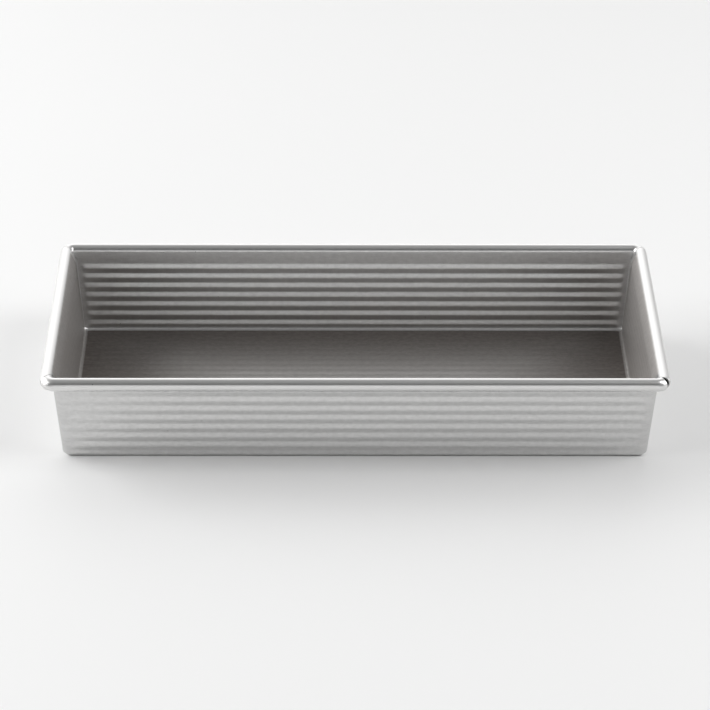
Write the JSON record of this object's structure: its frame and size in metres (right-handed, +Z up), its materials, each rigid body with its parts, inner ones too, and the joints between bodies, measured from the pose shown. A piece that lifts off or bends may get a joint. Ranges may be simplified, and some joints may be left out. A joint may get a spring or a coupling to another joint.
{
  "type": "biscotti pan",
  "caption": "Long shallow baking pan of fluted sheet steel with flared walls, pleated corners and an edge rolled round a wire.",
  "frame": {"origin": "centre of the footprint on the surface the pan stands on", "axes": "+X along the pan's length, +Y across it, +Z up out of its open top"},
  "size_m": [0.3184, 0.1532, 0.0495],
  "materials": {
    "aluminised_sheet": "satin aluminised steel with a clear release coat",
    "wire_steel": "plain drawn wire, darkened by heat"
  },
  "bodies": {
    "root": {"pan_sheet": "aluminised_sheet", "rim_wire": "wire_steel"}
  },
  "joints": []
}
